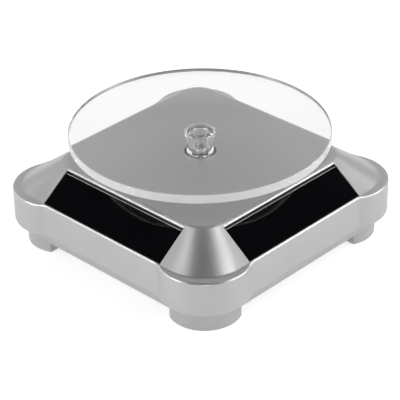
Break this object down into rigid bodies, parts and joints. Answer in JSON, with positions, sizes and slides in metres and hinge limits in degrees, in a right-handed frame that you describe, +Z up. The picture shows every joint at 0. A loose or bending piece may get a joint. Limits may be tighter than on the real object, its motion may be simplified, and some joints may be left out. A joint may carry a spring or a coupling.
{
  "type": "turntable display stand",
  "caption": "Low square silver stand with sloping solar cells on its sides, whose geared motor turns a clear round display disc on a central hub.",
  "frame": {"origin": "on the spindle's axis, in the plane that the four feet rest on", "axes": "+Z up along the spindle's axis; the four flat walls face +X, -X, +Y and -Y; the battery bay lies along X on the -Y side"},
  "size_m": [0.1014, 0.1014, 0.0414],
  "materials": {
    "housing_silver": "silver-coloured ABS, satin, fine metallic grain",
    "clear_acrylic": "clear cast acrylic, polished",
    "clear_plastic": "clear moulded polystyrene, glossy",
    "solar_glass": "near-black amorphous cell on glass, glossy",
    "white_acetal": "natural white acetal, satin",
    "steel": "bright turned steel",
    "magnet": "sintered ferrite, dark grey",
    "brass": "turned brass",
    "copper": "enamelled copper",
    "nickel": "nickel plated spring steel",
    "black_plastic": "black moulded plastic, satin",
    "red_wire": "red PVC insulation",
    "black_wire": "black PVC insulation",
    "blue_wire": "blue PVC insulation"
  },
  "bodies": {
    "stand": {"upper_housing": "housing_silver", "base_plate": "housing_silver", "solar_cell_front": "solar_glass", "solar_cell_right": "solar_glass", "solar_cell_back": "solar_glass", "solar_cell_left": "solar_glass", "second_axle": "steel", "first_axle": "steel", "gear_frame": "white_acetal", "gear_top_plate": "white_acetal", "spindle_bush": "brass", "thrust_washer": "steel", "motor_can": "steel", "motor_end_cap": "white_acetal", "motor_magnet": "magnet", "motor_brushes": "copper", "motor_terminals": "brass", "positive_contact": "nickel", "negative_contact": "nickel", "battery_spring": "nickel", "switch_body": "steel", "base_screws": "steel", "frame_screws": "steel", "gearbox_screws": "steel", "motor_lead": "red_wire", "battery_lead_red": "red_wire", "battery_lead_black": "black_wire", "solar_lead_red": "red_wire", "solar_lead_black": "black_wire", "solar_jumpers": "blue_wire"},
    "turntable": {"turntable_disc": "clear_acrylic", "spindle_hub": "clear_plastic", "output_shaft": "steel", "output_gear": "white_acetal"},
    "second_gear": {"second_gear": "white_acetal"},
    "first_gear": {"first_gear": "white_acetal"},
    "motor_rotor": {"motor_shaft": "steel", "motor_armature": "steel", "motor_windings": "copper", "motor_commutator": "copper", "motor_pinion": "brass"},
    "battery_door": {"battery_door": "housing_silver"},
    "switch_slider": {"switch_slider": "black_plastic"}
  },
  "joints": [
    {"name": "turntable_spin", "type": "hinge", "parent": "stand", "child": "turntable", "pos_m": [0, 0, 0], "axis": [0, 0, 1], "continuous": true},
    {"name": "second_gear_spin", "type": "hinge", "parent": "stand", "child": "second_gear", "pos_m": [0.0075, 0.01299, 0], "axis": [0, 0, 1], "continuous": true},
    {"name": "first_gear_spin", "type": "hinge", "parent": "stand", "child": "first_gear", "pos_m": [-0.00549, 0.02049, 0], "axis": [0, 0, 1], "continuous": true},
    {"name": "motor_spin", "type": "hinge", "parent": "stand", "child": "motor_rotor", "pos_m": [-0.02095, 0.01635, 0], "axis": [0, 0, 1], "continuous": true},
    {"name": "battery_door_hinge", "type": "hinge", "parent": "stand", "child": "battery_door", "pos_m": [-0.0256, -0.0232, 0.007], "axis": [0, 1, 0], "range_deg": [0, 85]},
    {"name": "switch_slide", "type": "slide", "parent": "stand", "child": "switch_slider", "axis": [0, 1, 0], "range_m": [0, 0.003]}
  ],
  "couplings": [
    {"joint": "first_gear_spin", "follows": "motor_spin", "ratio": -0.28},
    {"joint": "second_gear_spin", "follows": "motor_spin", "ratio": 0.056},
    {"joint": "turntable_spin", "follows": "motor_spin", "ratio": -0.0112}
  ]
}
